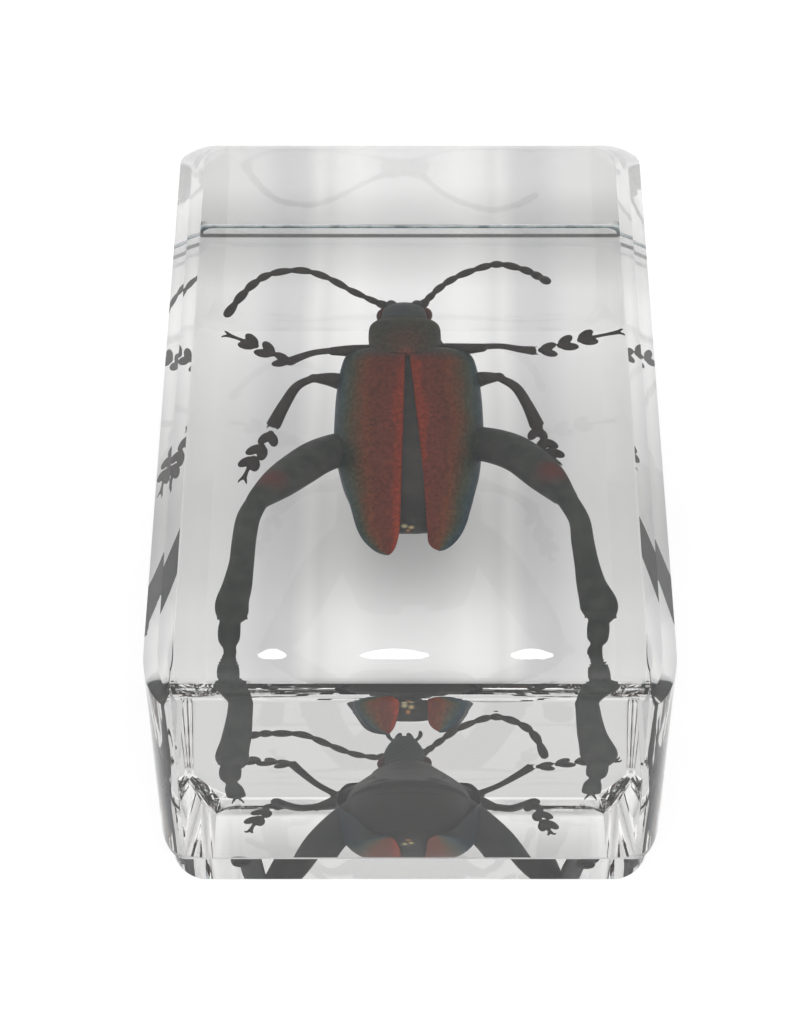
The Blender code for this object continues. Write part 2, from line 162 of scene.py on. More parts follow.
EYE_PLACES = ((-2.15, 14.7, 11.5), (1.2, 14.8, 11.5))
EYE_RADII = (0.82, 0.7, 0.88)
# radius at the root, what it gains up to the end, beads and the depth between them
ANTENNA_RADIUS = 0.31
ANTENNA_GAIN = 0.13
ANTENNA_BEADS = 11
ANTENNA_BEAD_DEPTH = 0.62

ANTENNA_LEFT = (
    (-1.8, 15.9, 11.5),
    (-3.0, 16.4, 11.9),
    (-5.0, 17.6, 12.1),
    (-7.1, 19.3, 11.9),
    (-9.3, 20.5, 11.3),
    (-11.8, 20.3, 11.0),
    (-13.3, 19.4, 10.6),
    (-14.6, 17.7, 10.2),
    (-15.7, 15.7, 9.8),
)
ANTENNA_RIGHT = (
    (0.8, 15.9, 11.3),
    (1.6, 17.1, 11.3),
    (2.7, 18.7, 11.0),
    (4.2, 20.3, 10.4),
    (6.4, 21.7, 9.9),
    (7.9, 22.0, 9.9),
    (9.8, 21.1, 10.4),
    (11.0, 19.8, 11.3),
    (11.8, 18.2, 13.0),
)

# the antennae and the four smaller legs lie this much lower than their points
LIMB_DROP = 0.28

# femur, tibia: x, y, z, half width, half height; foot: x, y, z of three pads and the end
FORE_LEFT = (
    (
        (-1.6, 10.8, 10.8, 0.85, 0.85),
        (-3.2, 10.5, 11.8, 0.7, 0.75),
        (-4.9, 10.1, 12.7, 0.6, 0.65),
        (-6.4, 9.8, 13.2, 0.45, 0.45),
    ),
    (
        (-6.2, 9.9, 13.2, 0.35, 0.35),
        (-8.0, 10.3, 11.9, 0.32, 0.32),
        (-9.3, 10.5, 10.4, 0.4, 0.38),
        (-10.1, 10.6, 9.3, 0.5, 0.42),
    ),
    ((-10.8, 10.7, 9.4), (-12.1, 11.6, 9.7), (-13.5, 12.4, 10.0), (-15.8, 13.3, 10.5)),
)
FORE_RIGHT = (
    (
        (1.0, 10.8, 10.8, 0.85, 0.85),
        (2.6, 10.7, 11.7, 0.7, 0.75),
        (4.4, 10.3, 12.7, 0.6, 0.65),
        (6.0, 10.2, 13.2, 0.45, 0.45),
    ),
    (
        (5.8, 10.3, 13.2, 0.35, 0.35),
        (7.6, 10.8, 12.4, 0.3, 0.3),
        (9.3, 11.1, 11.1, 0.38, 0.36),
        (10.4, 11.4, 10.2, 0.5, 0.42),
    ),
    ((11.6, 11.5, 10.2), (13.2, 12.2, 10.2), (14.9, 12.8, 10.3), (18.1, 13.5, 10.6)),
)
MID_LEFT = (
    (
        (-2.6, 6.2, 9.4, 0.95, 0.95),
        (-4.6, 6.7, 11.0, 0.9, 0.9),
        (-6.3, 6.9, 12.3, 0.75, 0.8),
        (-8.0, 6.8, 12.9, 0.4, 0.4),
    ),
    (
        (-7.8, 6.9, 12.9, 0.36, 0.36),
        (-9.3, 6.1, 12.6, 0.43, 0.4),
        (-10.3, 4.7, 11.5, 0.52, 0.42),
        (-11.3, 2.9, 9.9, 0.65, 0.48),
    ),
    ((-11.6, 1.6, 9.7), (-12.4, 0.2, 9.7), (-13.0, -1.2, 9.9), (-13.6, -3.5, 10.3)),
)
MID_RIGHT = (
    (
        (2.4, 6.2, 9.4, 0.95, 0.95),
        (4.3, 6.8, 11.0, 0.9, 0.9),
        (5.8, 7.0, 12.3, 0.75, 0.8),
        (7.4, 6.9, 13.0, 0.4, 0.4),
    ),
    (
        (7.2, 6.9, 13.0, 0.34, 0.34),
        (8.7, 6.0, 12.6, 0.45, 0.42),
        (9.7, 4.6, 11.3, 0.5, 0.42),
        (10.5, 2.9, 9.9, 0.65, 0.48),
    ),
    ((10.5, 2.0, 10.0), (11.1, 0.6, 10.3), (11.6, -0.7, 10.8), (12.0, -2.2, 11.4)),
)
# femur, tibia, foot: x, y, z, half width, half height; x, y, z of the claws
HIND_LEFT = (
    (
        (-2.2, 2.0, 8.4, 1.3, 1.2),
        (-4.6, 0.6, 9.8, 1.6, 1.6),
        (-7.2, -1.75, 12.3, 1.72, 1.72),
        (-8.9, -4.5, 14.95, 1.72, 1.7),
        (-10.5, -7.0, 16.7, 1.52, 1.5),
        (-12.0, -9.15, 17.6, 0.98, 0.95),
    ),
    (
        (-12.0, -9.15, 17.5, 0.9, 0.85),
        (-12.75, -10.3, 16.0, 0.97, 0.85),
        (-13.1, -11.6, 13.7, 0.98, 0.78),
        (-13.3, -12.8, 11.3, 1.02, 0.72),
        (-13.65, -14.0, 8.9, 1.22, 0.75),
        (-14.05, -15.0, 7.2, 1.36, 0.8),
        (-14.0, -16.0, 6.9, 1.28, 0.8),
        (-13.9, -16.7, 6.7, 0.87, 0.7),
    ),
    (
        (-14.1, -16.1, 6.8, 0.75, 0.6),
        (-14.2, -17.2, 6.5, 0.9, 0.65),
        (-14.2, -18.3, 6.2, 0.85, 0.6),
        (-14.1, -19.1, 6.0, 0.5, 0.4),
        (-13.9, -19.9, 5.7, 0.75, 0.45),
        (-13.7, -20.9, 5.3, 0.8, 0.45),
    ),
    (-13.5, -22.2, 4.9),
)
HIND_RIGHT = (
    (
        (2.0, 2.1, 8.4, 1.3, 1.2),
        (4.4, 1.05, 9.8, 1.6, 1.6),
        (7.05, -0.8, 12.35, 1.75, 1.75),
        (8.95, -3.1, 14.8, 1.75, 1.73),
        (10.8, -6.0, 16.3, 1.62, 1.6),
        (12.2, -8.5, 17.0, 1.03, 1.0),
    ),
    (
        (12.3, -8.5, 16.9, 0.88, 0.85),
        (13.35, -10.1, 15.3, 0.86, 0.8),
        (13.65, -11.4, 13.1, 0.93, 0.75),
        (13.95, -12.7, 11.2, 1.0, 0.72),
        (14.32, -14.0, 9.2, 1.22, 0.75),
        (14.85, -15.2, 7.7, 1.54, 0.8),
        (15.0, -16.1, 7.3, 1.35, 0.8),
        (15.0, -16.8, 7.1, 0.85, 0.7),
    ),
    (
        (14.9, -16.2, 7.2, 0.75, 0.6),
        (14.8, -17.3, 6.9, 0.9, 0.65),
        (14.7, -18.4, 6.6, 0.82, 0.6),
        (14.6, -18.9, 6.4, 0.5, 0.4),
        (14.4, -19.7, 6.1, 0.75, 0.45),
        (14.3, -20.7, 5.7, 0.8, 0.45),
    ),
    (14.2, -22.0, 5.2),
)

# ---------------------------------------------------------------- view
CAMERA_ELEVATION = 47.7
CAMERA_DISTANCE = 236.0
CAMERA_AIM = (0.0, -14.0, 25.0)
SENSOR_WIDTH = 36.0
FOCAL_PIXELS = 3068.0
FRAME_LONG_SIDE = 1024.0
CENTRE_SHIFT = -10.0

# ---------------------------------------------------------------- stage
FLOOR_REACH = 1600.0
FLOOR_LEVEL = -0.2
UNDER_LIGHT_LEVEL = -0.08
UNDER_LIGHT_INSETS = (1.0, 0.4, -0.1)
# how far the bands of the light under the block wander to each side
UNDER_LIGHT_SWAY = 0.8
# the block's shade on the table: how it starts, grows and fades behind the wall and to the
# sides, and the share of light left in its middle
SHADE_EDGE = 0.5
SHADE_GROWTH = (3.0, 11.0)
SHADE_AT_WALL = 0.3
SHADE_FADE = (12.0, 19.0)
SHADE_SIDES = (16.0, 22.0)
SHADE_LIGHT = 0.60
# the beetle's own shade on the light under the block
BEETLE_SHADE_PLACE = (0.0, -5.0, 0.0)
BEETLE_SHADE_RADIUS = 14.0
BEETLE_SHADE_DEPTH = 0.34

# name, x, width, power
LAMPS = (
    ("lamp_left", -29.0, 6.0, 0.018),
    ("lamp_middle", -3.2, 14.5, 0.045),
    ("lamp_right", 25.7, 9.0, 0.027),
)
LAMP_LENGTH = 110.0
LAMP_Y = 192.0
LAMP_Z = 381.0
LAMP_TILT = -32.0
# axis of the view direction, where the change starts and stops, strength before and after it
SKY_CHANGES = (
    ("Y", -0.35, 0.15, 1.35, 0.74),
    ("Z", 0.82, 0.97, 0.0, 0.5),
)


# ---------------------------------------------------------------- mesh helpers
def ramp_up(value, start, length):
    """Nothing up to the start, then a straight rise to one over the length."""
    return min(max((value - start) / length, 0.0), 1.0)


def skin(bm, rings, head=None, tail=None, uv_rows=None):
    """Join rings of points into one closed shell, ending in a point or a flat face.

    Where given, uv_rows holds the V of each ring and the U of each point of a ring.
    """
    loops = [[bm.verts.new(Vector(p) * MM) for p in ring] for ring in rings]
    sides = len(loops[0])
    if uv_rows:
        layer = bm.loops.layers.uv.verify()
        along, across = uv_rows
    for k, (low, high) in enumerate(zip(loops, loops[1:])):
        for i in range(sides):
            j = (i + 1) % sides
            face = bm.faces.new((low[i], low[j], high[j], high[i]))
            if uv_rows:
                corners = ((i, k), (j, k), (j, k + 1), (i, k + 1))
                for loop, (column, row) in zip(face.loops, corners):
                    loop[layer].uv = (across[column], along[row])
    for ring, tip, row in ((loops[0], head, 0), (loops[-1], tail, -1)):
        faces = []
        if tip is None:
            faces.append(bm.faces.new(ring if row else ring[::-1]))
        else:
            pole = bm.verts.new(Vector(tip) * MM)
            for i in range(sides):
                j = (i + 1) % sides
                edge = (ring[i], ring[j]) if row else (ring[j], ring[i])
                faces.append(bm.faces.new((*edge, pole)))
        if uv_rows:
            u_of = dict(zip(ring, across))
            for face in faces:
                for loop in face.loops:
                    loop[layer].uv = (u_of.get(loop.vert, 0.5), along[row])


def smooth_line(points, count):
    """Count stations on a smooth curve through the points."""
    values = [Vector(p) for p in points]
    spans = len(values) - 1
    line = []
    for k in range(count):
        place = spans * k / (count - 1)
        span = min(int(place), spans - 1)
        t = place - span
        before = values[max(span - 1, 0)]
        start = values[span]
        stop = values[span + 1]
        after = values[min(span + 2, spans)]
        line.append(0.5 * (
            2.0 * start
            + (stop - before) * t
            + (2.0 * before - 5.0 * start + 4.0 * stop - after) * t ** 2
            + (3.0 * start - before - 3.0 * stop + after) * t ** 3
        ))
    return line


def at_place(form, place):
    """Values of a form at a place on its first column, on a smooth curve."""
    spans = len(form) - 1
    for k in range(spans):
        if place <= form[k + 1][0] or k == spans - 1:
            break
    before = form[max(k - 1, 0)]
    start = form[k]
    stop = form[k + 1]
    after = form[min(k + 2, spans)]
    span = stop[0] - start[0]
    t = ramp_up(place, start[0], span)
    values = []
    for column in range(1, len(start)):
        slope_in = (stop[column] - before[column]) / (stop[0] - before[0]) * span
        slope_out = (after[column] - start[column]) / (after[0] - start[0]) * span
        values.append(
            start[column] * (2 * t ** 3 - 3 * t ** 2 + 1)
            + slope_in * (t ** 3 - 2 * t ** 2 + t)
            + stop[column] * (3 * t ** 2 - 2 * t ** 3)
            + slope_out * (t ** 3 - t ** 2)
        )
    return values


def oval(middle, across, rise, half_width, half_height, swell, sides):
    """Points of a swollen or shrunken oval round a middle, in the plane of two unit vectors."""
    ring = []
    for i in range(sides):
        turn = 2.0 * math.pi * (i + 0.5) / sides
        ring.append(
            middle
            + across * half_width * swell * math.cos(turn)
            + rise * half_height * swell * math.sin(turn)
        )
    return ring


def limb(bm, points, sides, count, beads=0, bead_depth=0.0):
    """A rounded limb along points that carry a half width and a half height.

    A bead swells like part of a half wave, from bead_start on and over bead_reach.
    """
    bead_start = 0.12
    bead_reach = 0.75
    places = smooth_line([p[:3] for p in points], count)
    widths = smooth_line([(p[3], p[4], 0.0) for p in points], count)
    rings = []
    ends = []
    for k, (place, width) in enumerate(zip(places, widths)):
        ahead = places[min(k + 1, count - 1)] - places[max(k - 1, 0)]
        ahead.normalize()
        across = ahead.cross(UP).normalized()
        rise = across.cross(ahead)
        swell = 1.0
        if beads:
            phase = (beads * k / (count - 1)) % 1.0
            wave = math.sin(math.pi * min(phase * bead_reach + bead_start, 1.0))
            swell = 1.0 - bead_depth * (1.0 - wave)
        rings.append(oval(place, across, rise, width[0], width[1], swell, sides))
        if k in (0, count - 1):
            reach = 0.5 * min(width[0], width[1]) * swell
            ends.append(place + ahead * (reach if k else -reach))
    skin(bm, rings, ends[0], ends[1])


def lump(bm, middle, radii, ahead, sides, levels, lift=UP):
    """A rounded lump, long along the direction ahead."""
    ahead = Vector(ahead).normalized()
    across = ahead.cross(lift).normalized()
    rise = across.cross(ahead)
    middle = Vector(middle)
    long_radius, wide_radius, high_radius = radii
    rings = []
    for k in range(1, levels):
        turn = math.pi * k / levels
        out = math.sin(turn)
        centre = middle - ahead * long_radius * math.cos(turn)
        rings.append(oval(centre, across, rise, wide_radius, high_radius, out, sides))
    skin(bm, rings, middle - ahead * long_radius, middle + ahead * long_radius)


def barrel(bm, form, middle_x, sides, power, steps):
    """A body part whose cross-sections stand along Y, squarer with a lower power."""
    tip_length = 0.3
    rings = []
    places = smooth_line([row[:3] for row in form], steps)
    heights = smooth_line([(row[3], 0.0, 0.0) for row in form], steps)
    backward = form[0][0] > form[-1][0]
    for (y, height, half_width), (half_height, _, _) in zip(places, heights):
        ring = []
        for i in range(sides):
            turn = 2.0 * math.pi * i / sides
            c = math.cos(turn)
            s = math.sin(turn)
            x = half_width * math.copysign(abs(c) ** power, c)
            z = half_height * math.copysign(abs(s) ** power, s)
            ring.append((middle_x + (x if backward else -x), y, height + z))
        rings.append(ring)
    way = -1.0 if backward else 1.0
    first = form[0]
    last = form[-1]
    head_end = (middle_x, first[0] - way * tip_length, first[1])
    tail_end = (middle_x, last[0] + way * tip_length, last[1])
    skin(bm, rings, head_end, tail_end)


def piece_from(name, bm, material):
    """Turn a bmesh into a named piece that rides on the root body."""
    mesh = bpy.data.meshes.new(name)
    bmesh.ops.recalc_face_normals(bm, faces=bm.faces)
    bm.to_mesh(mesh)
    bm.free()
    mesh.materials.append(material)
    mesh.shade_smooth()
    piece = bpy.data.objects.new(name, mesh)
    bpy.context.scene.collection.objects.link(piece)
    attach(piece, ROOT)
    return piece


def beetle_piece(name, bm, material, blend_size=0.0, rounds=0):
    """A piece of the beetle, with its overlapping forms grown together where asked."""
    piece = piece_from(name, bm, material)
    if blend_size:
        grown = piece.modifiers.new("grown", "REMESH")
        grown.mode = "VOXEL"
        grown.voxel_size = blend_size * MM
        grown.use_smooth_shade = True
        soft = piece.modifiers.new("soft", "SMOOTH")
        soft.factor = 0.5
        soft.iterations = 3
    if rounds:
        finer = piece.modifiers.new("finer", "SUBSURF")
        finer.levels = rounds
        finer.render_levels = rounds
    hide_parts(BEETLE)


# ---------------------------------------------------------------- material helpers
def grey(level):
    return (level, level, level)


class Paint:
    """A node material under construction."""

    def __init__(self, name):
        self.material = bpy.data.materials.new(name)
        self.material.use_nodes = True
        self.tree = self.material.node_tree
        self.shader = self.tree.nodes["Principled BSDF"]

    def feed(self, socket, value):
        """Link another node's output to a socket, or give it a plain value."""
        if hasattr(value, "is_output"):
            self.tree.links.new(value, socket)
        else:
            socket.default_value = value

    def set(self, **values):
        """Feed the shader's own sockets, whose names have _ for a space here."""
        for key, value in values.items():
            self.feed(self.shader.inputs[key.replace("_", " ")], value)

    def add(self, kind, inputs=None, **settings):
        """A new node with these inputs, by name or by number, and these settings."""
        node = self.tree.nodes.new(kind)
        for key, value in settings.items():
            setattr(node, key, value)
        for key, value in (inputs or {}).items():
            self.feed(node.inputs[key], value)
        return node

    def place(self):
        return self.add("ShaderNodeTexCoord").outputs["Object"]

    def axes(self, vector):
        """X, Y and Z of a vector, by name."""
        return self.add("ShaderNodeSeparateXYZ", {"Vector": vector}).outputs

    def spread(self, amount):
        """A grey of this amount."""
        return self.add("ShaderNodeCombineXYZ", {0: amount, 1: amount, 2: amount}).outputs[0]

    def noise(self, scale, detail=2.0, roughness=0.5):
        return self.add(
            "ShaderNodeTexNoise",
            {"Vector": self.place(), "Scale": scale, "Detail": detail, "Roughness": roughness},
        ).outputs["Fac"]

    def ramp(self, source, stops):
        node = self.add("ShaderNodeValToRGB", {"Fac": source})
        elements = node.color_ramp.elements
        while len(elements) < len(stops):
            elements.new(0.5)
        for element, (position, colour) in zip(elements, stops):
            element.position = position
            element.color = (*colour, 1.0)
        return node.outputs["Color"]

    def mix(self, factor, first, second, mode="MIX"):
        """A mix of two colours, each a plain one or another node's output."""
        node = self.add("ShaderNodeMix", data_type="RGBA", blend_type=mode)
        self.feed(node.inputs["Factor"], factor)
        sockets = [socket for socket in node.inputs if socket.type == "RGBA"]
        for socket, colour in zip(sockets, (first, second)):
            self.feed(socket, colour if hasattr(colour, "is_output") else (*colour, 1.0))
        return [socket for socket in node.outputs if socket.type == "RGBA"][0]

    def times(self, first, second):
        return self.mix(1.0, first, second, "MULTIPLY")

    def math(self, operation, *values):
        node = self.add("ShaderNodeMath", operation=operation)
        for socket, value in zip(node.inputs, values):
            self.feed(socket, value)
        return node.outputs[0]

    def range(self, source, low, high, new_low=0.0, new_high=1.0):
        """Smoothly from one value to another while the source goes from low to high."""
        return self.add(
            "ShaderNodeMapRange",
            {"Value": source, "From Min": low, "From Max": high, "To Min": new_low, "To Max": new_high},
            interpolation_type="SMOOTHSTEP",
        ).outputs["Result"]

    def stretch(self, source, low, high, new_low=0.0, new_high=1.0):
        """The same for a source that is a length, with low and high in millimetres."""
        return self.range(source, low * MM, high * MM, new_low, new_high)

    def bump(self, height, strength, distance):
        inputs = {"Height": height, "Strength": strength, "Distance": distance * MM}
        return self.add("ShaderNodeBump", inputs).outputs["Normal"]

    def near(self, spot, radius):
        """One at a spot in the object, fading to nothing at the radius."""
        points = {0: self.place(), 1: Vector(spot) * MM}
        away = self.add("ShaderNodeVectorMath", points, operation="DISTANCE")
        return self.stretch(away.outputs["Value"], 0.0, radius, 1.0, 0.0)


# ---------------------------------------------------------------- materials
# place from the suture to the margin, colour
CASE_COLOURS = (
    (0.00, (0.210, 0.024, 0.007)),
    (0.05, (0.185, 0.020, 0.006)),
    (0.09, (0.115, 0.018, 0.008)),
    (0.27, (0.100, 0.020, 0.008)),
    (0.37, (0.130, 0.032, 0.010)),
    (0.47, (0.085, 0.040, 0.018)),
    (0.57, (0.048, 0.050, 0.030)),
    (0.69, (0.032, 0.054, 0.052)),
    (0.81, (0.020, 0.043, 0.060)),
    (1.00, (0.018, 0.030, 0.044)),
)
# spots at the tip of the abdomen, the two pale ones painted glints and the brown one a fleck: place,
# radius, strength, colour
FLECKS_AND_GLINTS = (
    ((-0.45, -7.7, 8.9), 0.4, 0.9, (0.70, 0.62, 0.36)),
    ((0.1, -7.8, 8.75), 0.36, 0.9, (0.66, 0.50, 0.24)),
    ((-0.15, -7.95, 8.3), 0.3, 0.9, (0.50, 0.22, 0.08)),
)
KNEES = (
    ((-11.0, -7.2, 17.6), 1.9, 0.8, (0.15, 0.030, 0.026)),
    ((11.3, -6.2, 17.4), 1.9, 0.8, (0.15, 0.030, 0.026)),
)
# share of the way from the middle of the block to its side, light
UNDER_LIGHT_BANDS = (
    (0.00, grey(0.86)),
    (0.12, grey(0.88)),
    (0.23, (0.98, 0.98, 0.97)),
    (0.32, (0.90, 0.90, 0.89)),
    (0.365, grey(0.78)),
    (0.41, (0.86, 0.86, 0.85)),
    (0.48, (0.62, 0.62, 0.63)),
    (0.58, (0.60, 0.60, 0.61)),
    (0.69, grey(0.76)),
    (0.82, (0.80, 0.80, 0.79)),
    (1.00, grey(0.70)),
)
# share of the way from the front of the block to its back, light
UNDER_LIGHT_LEVELS = (
    (0.00, grey(0.88)),
    (0.12, grey(0.96)),
    (0.29, grey(0.92)),
    (0.36, grey(0.78)),
    (0.48, grey(0.70)),
    (0.62, grey(0.76)),
    (0.78, grey(0.97)),
    (0.89, grey(0.92)),
    (0.93, grey(0.72)),
    (0.96, grey(0.62)),
    (1.00, grey(0.52)),
)


def resin_paint():
    """Clear cast resin, polished, with a very slight waviness and a worn seam."""
    paint = Paint("clear_resin_look")
    grid = paint.axes(paint.place())
    level = paint.math("MULTIPLY_ADD", grid["Y"], STEP_SLOPE, grid["Z"])
    middle_groove = (GROOVE_HEIGHT - 0.5 * STEP_SLOPE * BLOCK_LENGTH) * MM
    away = paint.math("ABSOLUTE", paint.math("SUBTRACT", level, middle_groove))
    wider = paint.stretch(grid["Y"], *SEAM_BACK, 0.0, SEAM_GAIN * MM)
    seam = paint.stretch(paint.math("SUBTRACT", away, wider), SEAM_HALF, SEAM_FADED, 1.0, 0.0)
    worn = paint.range(paint.noise(520.0, 3.0, 0.7), 0.35, 0.62)
    tint = paint.mix(worn, (0.05, 0.08, 0.10), (0.34, 0.42, 0.44))
    paint.set(
        IOR=RESIN_IOR,
        Transmission_Weight=1.0,
        Base_Color=paint.mix(seam, grey(1.0), tint),
        Roughness=paint.math("MULTIPLY", seam, 0.35),
        Normal=paint.bump(paint.noise(70.0, 0.0), 0.005, 0.02),
    )
    absorb = paint.add("ShaderNodeVolumeAbsorption", {"Color": RESIN_TONE, "Density": RESIN_DENSITY})
    paint.feed(paint.tree.nodes["Material Output"].inputs["Volume"], absorb.outputs["Volume"])
    return paint.material


def pits(paint, scale, strength, depth):
    """Fine pits, as in the surface of a wing case."""
    cells = paint.add(
        "ShaderNodeTexVoronoi", {"Vector": paint.place(), "Scale": scale, "Randomness": 1.0}
    ).outputs["Distance"]
    return paint.bump(paint.range(cells, 0.0, 0.5), strength, depth)


def speckled(paint, colour, scale, darkest, lightest):
    """The colour with fine flecks that darken and lighten it."""
    fleck = paint.range(paint.noise(scale, 2.0, 0.7), 0.3, 0.75, darkest, lightest)
    return paint.times(colour, paint.spread(fleck))


def case_paint(name, greener):
    """Copper red wing case that turns green and blue towards its margin, near-black where it faces down
    as painted shade.
    """
    paint = Paint(name)
    sheet = paint.axes(paint.add("ShaderNodeTexCoord").outputs["UV"])
    drift = paint.math("MULTIPLY_ADD", paint.noise(420.0, 3.0), 0.16, -0.08)
    shifted = paint.math("ADD", sheet["X"], drift)
    tail = paint.range(sheet["Y"], 0.5, 1.0, 0.0, 0.12)
    shifted = paint.math("ADD", shifted, paint.math("MULTIPLY", tail, greener))
    colour = paint.ramp(shifted, CASE_COLOURS)
    base_zone = paint.range(sheet["Y"], 0.035, 0.135, 1.0, 0.0)
    colour = paint.mix(paint.math("MULTIPLY", base_zone, 0.85), colour, (0.026, 0.040, 0.036))
    colour = speckled(paint, colour, 3600.0, 0.72, 1.6)
    facing = paint.axes(paint.add("ShaderNodeNewGeometry").outputs["Normal"])
    # painted shade: near-black wherever the surface faces down
    painted_under_shade = paint.range(facing["Z"], -0.35, 0.0, 1.0, 0.0)
    paint.set(
        Base_Color=paint.mix(painted_under_shade, colour, (0.016, 0.015, 0.014)),
        Roughness=paint.range(paint.noise(900.0, 3.0), 0.3, 0.7, 0.34, 0.5),
        Metallic=0.25,
        Specular_IOR_Level=0.1,
        Normal=pits(paint, 3600.0, 0.35, 0.03),
    )
    return paint.material


def pronotum_paint():
    """Dark green bronze, reddish in its rear middle."""
    paint = Paint("pronotum_look")
    tones = ((0.3, (0.034, 0.040, 0.030)), (0.7, (0.050, 0.046, 0.028)))
    green = paint.ramp(paint.noise(520.0, 3.0), tones)
    red = paint.mix(0.5, green, (0.110, 0.026, 0.012))
    colour = paint.mix(paint.near((HEAD_X + 0.1, 10.2, 14.4), 2.9), green, red)
    edge = paint.near((HEAD_X + 0.2, 8.6, 14.2), 1.25)
    colour = paint.mix(paint.math("MULTIPLY", edge, 0.8), colour, (0.22, 0.045, 0.030))
    paint.set(
        Base_Color=speckled(paint, colour, 3400.0, 0.6, 1.35),
        Roughness=0.46,
        Metallic=0.2,
        Specular_IOR_Level=0.1,
        Normal=pits(paint, 3400.0, 0.35, 0.03),
    )
    return paint.material


def dark_paint(name, low, high, grain=1500.0, pit_scale=4200.0, spots=()):
    """Near-black shell with slow changes of tone, and warmer spots where asked, among them painted
    glints.
    """
    paint = Paint(name)
    colour = paint.ramp(paint.noise(grain, 4.0, 0.6), ((0.32, low), (0.70, high)))
    # the spots include painted glints on the tip of the abdomen
    for spot, radius, strength, tint in spots:
        amount = paint.math("MULTIPLY", paint.near(spot, radius), strength)
        colour = paint.mix(amount, colour, tint)
    paint.set(
        Base_Color=colour,
        Roughness=paint.range(paint.noise(1100.0, 2.0), 0.3, 0.7, 0.4, 0.58),
        Specular_IOR_Level=0.1,
        Normal=pits(paint, pit_scale, 0.4, 0.025),
    )
    return paint.material


def floor_paint():
    """Plain white light table with a hardly visible tooth, and the block's shade behind it."""
    paint = Paint("floor_look")
    colour = paint.ramp(paint.noise(40.0, 4.0), ((0.3, grey(0.34)), (0.7, grey(0.36))))
    grid = paint.axes(paint.place())
    behind = paint.math("SUBTRACT", grid["Y"], 0.5 * BLOCK_LENGTH * MM)
    reach = paint.math("ABSOLUTE", grid["X"])
    shadow = paint.stretch(behind, *SHADE_FADE, 1.0, 0.0)
    for share in (
        paint.stretch(behind, *SHADE_GROWTH, SHADE_AT_WALL, 1.0),
        paint.stretch(behind, 0.0, SHADE_EDGE),
        paint.stretch(reach, *SHADE_SIDES, 1.0, 0.0),
    ):
        shadow = paint.math("MULTIPLY", shadow, share)
    lit = paint.mix(shadow, grey(1.0), grey(SHADE_LIGHT))
    paint.set(
        Base_Color=paint.times(colour, lit),
        Roughness=0.9,
        Specular_IOR_Level=0.1,
        Emission_Color=lit,
        Emission_Strength=0.70,
        Normal=paint.bump(paint.noise(2600.0, 3.0), 0.1, 0.02),
    )
    return paint.material


def under_light_paint():
    """The light that reaches the table under the block, painted in soft bands along it, with painted
    shade under the beetle and at the back rim.
    """
    paint = Paint("under_light_look")
    grid = paint.axes(paint.place())
    sway = UNDER_LIGHT_SWAY * MM
    aside = paint.math("MULTIPLY_ADD", paint.noise(60.0, 2.0), 2.0 * sway, -sway)
    reach = paint.math("ABSOLUTE", paint.math("ADD", grid["X"], aside))
    bands = paint.ramp(paint.math("DIVIDE", reach, 0.5 * BLOCK_WIDTH * MM), UNDER_LIGHT_BANDS)
    length = paint.math("DIVIDE", grid["Y"], 0.5 * BLOCK_LENGTH * MM)
    level = paint.ramp(paint.math("MULTIPLY_ADD", length, 0.5, 0.5), UNDER_LIGHT_LEVELS)
    patch = paint.near(BEETLE_SHADE_PLACE, BEETLE_SHADE_RADIUS)
    shade = paint.math("MULTIPLY_ADD", patch, -BEETLE_SHADE_DEPTH, 1.0)
    # painted contact shade: the light fades to dark along the block's back rim
    rim_shade = paint.range(length, 0.986, 0.992, 1.0, 0.12)
    shade = paint.spread(paint.math("MULTIPLY", shade, rim_shade))
    paint.set(
        Base_Color=paint.times(grey(0.42), shade),
        Roughness=0.9,
        Specular_IOR_Level=0.1,
        Emission_Color=paint.times(paint.times(bands, level), shade),
        Emission_Strength=0.72,
    )
    return paint.material


# ---------------------------------------------------------------- block piece
def round_inset(height, drop, length):
    """How far a round edge that starts this far down has drawn in at a height."""
    rise = (height - (BLOCK_HEIGHT - drop)) / drop
    if rise <= 0.0:
        return 0.0
    return length * (1.0 - max(1.0 - rise ** ROUND_POWER, 0.0) ** (1.0 / ROUND_POWER))


def facet_inset(height):
    """The same for the two flat facets along each side."""
    drop = BLOCK_HEIGHT - height
    whole_drop = INNER_FACET_DROP + OUTER_FACET_DROP
    if drop >= whole_drop:
        return 0.0
    if drop >= INNER_FACET_DROP:
        return FACET_WIDTH * (whole_drop - drop) / OUTER_FACET_DROP
    return FACET_WIDTH * (2.0 - drop / INNER_FACET_DROP)


def block_ring(height, side, front, back, front_corner=FRONT_CORNER, slope=0.0):
    """One outline of the block, drawn in by its own amount on each side."""
    ring = []
    for quarter, (sx, sy) in enumerate(((1, 1), (-1, 1), (-1, -1), (1, -1))):
        if sy > 0:
            corner = BACK_CORNER
            end = back
            grown = min(max(back, 0.0) / BACK_ROUND_LENGTH / GROWTH_SHARE, 1.0) ** 0.5
        else:
            corner = front_corner
            end = front
            grown = 0.0
        wide = max(corner[0] - side + BACK_CORNER_GROWTH[0] * grown, LEAST_CORNER[0])
        long = max(corner[1] - end + BACK_CORNER_GROWTH[1] * grown, LEAST_CORNER[1])
        for k in range(CORNER_STEPS + 1):
            turn = 0.5 * math.pi * (quarter + k / CORNER_STEPS)
            x = sx * (0.5 * BLOCK_WIDTH - side - wide * (1.0 - abs(math.cos(turn))))
            y = sy * (0.5 * BLOCK_LENGTH - end - long * (1.0 - abs(math.sin(turn))))
            ring.append((x, y, height - slope * (y + 0.5 * BLOCK_LENGTH)))
    return ring


